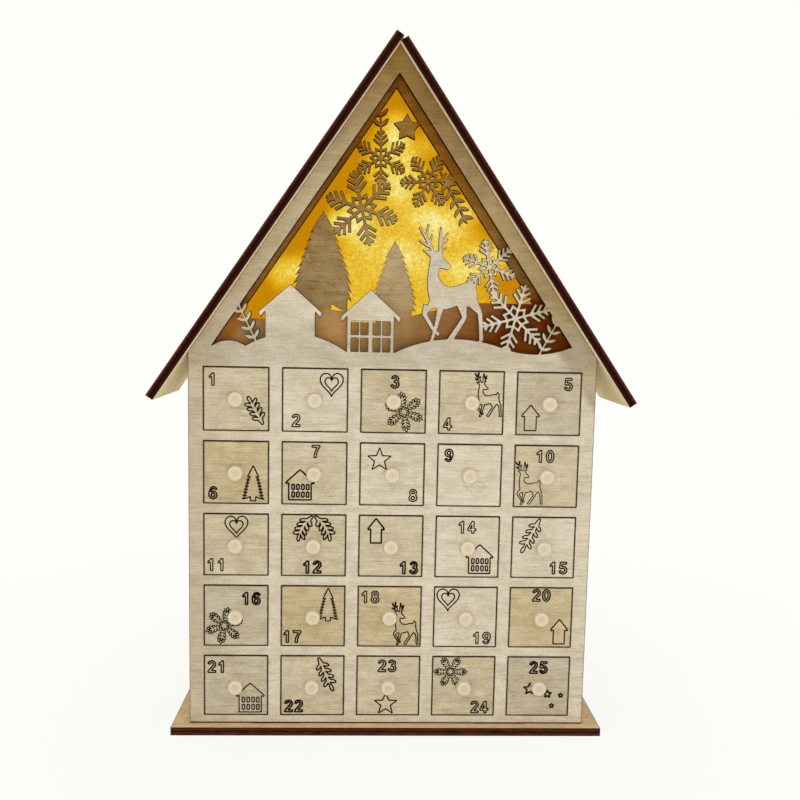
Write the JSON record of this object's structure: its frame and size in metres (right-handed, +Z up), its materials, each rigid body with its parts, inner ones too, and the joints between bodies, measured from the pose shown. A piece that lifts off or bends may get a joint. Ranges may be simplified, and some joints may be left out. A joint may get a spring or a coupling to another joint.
{
  "type": "wooden advent calendar",
  "caption": "Plywood house with rows of small drawers under a steep roof, and a lit fretwork winter scene in the gable.",
  "frame": {"origin": "middle of the base board's underside", "axes": "+Z up, -Y towards the drawer fronts, +X to the right as seen from the front"},
  "size_m": [0.2922, 0.066, 0.4204],
  "materials": {
    "base_ply": "raw plywood with burnt cut edges",
    "front_ply": "raw pale plywood, laser cut",
    "back_ply": "raw pale plywood, laser cut",
    "carcass_ply": "raw pale plywood, laser cut",
    "roof_ply": "raw plywood with burnt cut edges",
    "scene_ply": "raw plywood, laser cut",
    "drawer_ply": "raw pale plywood, laser cut",
    "diffuser_film": "translucent amber film, lit from behind",
    "case_plastic": "moulded, fine matt",
    "switch_plastic": "moulded, satin",
    "cell_sleeve": "plain printed sleeve",
    "contact_steel": "plated spring steel",
    "lead_plastic": "clear insulated pair",
    "lamp_resin": "clear resin bead"
  },
  "bodies": {
    "carcass": {"base_plate": "base_ply", "front_panel": "front_ply", "back_panel": "back_ply", "left_wall": "carcass_ply", "right_wall": "carcass_ply", "attic_floor": "carcass_ply", "left_roof": "roof_ply", "right_roof": "roof_ply", "left_spacer": "carcass_ply", "right_spacer": "carcass_ply", "scene_panel": "scene_ply", "diffuser_sheet": "diffuser_film", "battery_case": "case_plastic", "battery_cells": "cell_sleeve", "battery_contacts": "contact_steel", "light_string": "lead_plastic", "bead_lamps": "lamp_resin", "shelf_1": "carcass_ply", "shelf_2": "carcass_ply", "shelf_3": "carcass_ply", "shelf_4": "carcass_ply", "shelf_5": "carcass_ply", "divider_1": "carcass_ply", "divider_2": "carcass_ply", "divider_3": "carcass_ply", "divider_4": "carcass_ply"},
    "drawer_01": {"drawer_01": "drawer_ply"},
    "drawer_02": {"drawer_02": "drawer_ply"},
    "drawer_03": {"drawer_03": "drawer_ply"},
    "drawer_04": {"drawer_04": "drawer_ply"},
    "drawer_05": {"drawer_05": "drawer_ply"},
    "drawer_06": {"drawer_06": "drawer_ply"},
    "drawer_07": {"drawer_07": "drawer_ply"},
    "drawer_08": {"drawer_08": "drawer_ply"},
    "drawer_09": {"drawer_09": "drawer_ply"},
    "drawer_10": {"drawer_10": "drawer_ply"},
    "drawer_11": {"drawer_11": "drawer_ply"},
    "drawer_12": {"drawer_12": "drawer_ply"},
    "drawer_13": {"drawer_13": "drawer_ply"},
    "drawer_14": {"drawer_14": "drawer_ply"},
    "drawer_15": {"drawer_15": "drawer_ply"},
    "drawer_16": {"drawer_16": "drawer_ply"},
    "drawer_17": {"drawer_17": "drawer_ply"},
    "drawer_18": {"drawer_18": "drawer_ply"},
    "drawer_19": {"drawer_19": "drawer_ply"},
    "drawer_20": {"drawer_20": "drawer_ply"},
    "drawer_21": {"drawer_21": "drawer_ply"},
    "drawer_22": {"drawer_22": "drawer_ply"},
    "drawer_23": {"drawer_23": "drawer_ply"},
    "drawer_24": {"drawer_24": "drawer_ply"},
    "drawer_25": {"drawer_25": "drawer_ply"},
    "battery_cover": {"battery_cover": "case_plastic"},
    "switch_slider": {"switch_slider": "switch_plastic"}
  },
  "joints": [
    {"name": "drawer_01_slide", "type": "slide", "parent": "carcass", "child": "drawer_01", "axis": [0, -1, 0], "range_m": [0, 0.05]},
    {"name": "drawer_02_slide", "type": "slide", "parent": "carcass", "child": "drawer_02", "axis": [0, -1, 0], "range_m": [0, 0.05]},
    {"name": "drawer_03_slide", "type": "slide", "parent": "carcass", "child": "drawer_03", "axis": [0, -1, 0], "range_m": [0, 0.05]},
    {"name": "drawer_04_slide", "type": "slide", "parent": "carcass", "child": "drawer_04", "axis": [0, -1, 0], "range_m": [0, 0.05]},
    {"name": "drawer_05_slide", "type": "slide", "parent": "carcass", "child": "drawer_05", "axis": [0, -1, 0], "range_m": [0, 0.05]},
    {"name": "drawer_06_slide", "type": "slide", "parent": "carcass", "child": "drawer_06", "axis": [0, -1, 0], "range_m": [0, 0.05]},
    {"name": "drawer_07_slide", "type": "slide", "parent": "carcass", "child": "drawer_07", "axis": [0, -1, 0], "range_m": [0, 0.05]},
    {"name": "drawer_08_slide", "type": "slide", "parent": "carcass", "child": "drawer_08", "axis": [0, -1, 0], "range_m": [0, 0.05]},
    {"name": "drawer_09_slide", "type": "slide", "parent": "carcass", "child": "drawer_09", "axis": [0, -1, 0], "range_m": [0, 0.05]},
    {"name": "drawer_10_slide", "type": "slide", "parent": "carcass", "child": "drawer_10", "axis": [0, -1, 0], "range_m": [0, 0.05]},
    {"name": "drawer_11_slide", "type": "slide", "parent": "carcass", "child": "drawer_11", "axis": [0, -1, 0], "range_m": [0, 0.05]},
    {"name": "drawer_12_slide", "type": "slide", "parent": "carcass", "child": "drawer_12", "axis": [0, -1, 0], "range_m": [0, 0.05]},
    {"name": "drawer_13_slide", "type": "slide", "parent": "carcass", "child": "drawer_13", "axis": [0, -1, 0], "range_m": [0, 0.05]},
    {"name": "drawer_14_slide", "type": "slide", "parent": "carcass", "child": "drawer_14", "axis": [0, -1, 0], "range_m": [0, 0.05]},
    {"name": "drawer_15_slide", "type": "slide", "parent": "carcass", "child": "drawer_15", "axis": [0, -1, 0], "range_m": [0, 0.05]},
    {"name": "drawer_16_slide", "type": "slide", "parent": "carcass", "child": "drawer_16", "axis": [0, -1, 0], "range_m": [0, 0.05]},
    {"name": "drawer_17_slide", "type": "slide", "parent": "carcass", "child": "drawer_17", "axis": [0, -1, 0], "range_m": [0, 0.05]},
    {"name": "drawer_18_slide", "type": "slide", "parent": "carcass", "child": "drawer_18", "axis": [0, -1, 0], "range_m": [0, 0.05]},
    {"name": "drawer_19_slide", "type": "slide", "parent": "carcass", "child": "drawer_19", "axis": [0, -1, 0], "range_m": [0, 0.05]},
    {"name": "drawer_20_slide", "type": "slide", "parent": "carcass", "child": "drawer_20", "axis": [0, -1, 0], "range_m": [0, 0.05]},
    {"name": "drawer_21_slide", "type": "slide", "parent": "carcass", "child": "drawer_21", "axis": [0, -1, 0], "range_m": [0, 0.05]},
    {"name": "drawer_22_slide", "type": "slide", "parent": "carcass", "child": "drawer_22", "axis": [0, -1, 0], "range_m": [0, 0.05]},
    {"name": "drawer_23_slide", "type": "slide", "parent": "carcass", "child": "drawer_23", "axis": [0, -1, 0], "range_m": [0, 0.05]},
    {"name": "drawer_24_slide", "type": "slide", "parent": "carcass", "child": "drawer_24", "axis": [0, -1, 0], "range_m": [0, 0.05]},
    {"name": "drawer_25_slide", "type": "slide", "parent": "carcass", "child": "drawer_25", "axis": [0, -1, 0], "range_m": [0, 0.05]},
    {"name": "battery_cover_slide", "type": "slide", "parent": "carcass", "child": "battery_cover", "axis": [0, 1, 0], "range_m": [0, 0.012]},
    {"name": "switch_slide", "type": "slide", "parent": "carcass", "child": "switch_slider", "axis": [1, 0, 0], "range_m": [0, 0.003]}
  ]
}
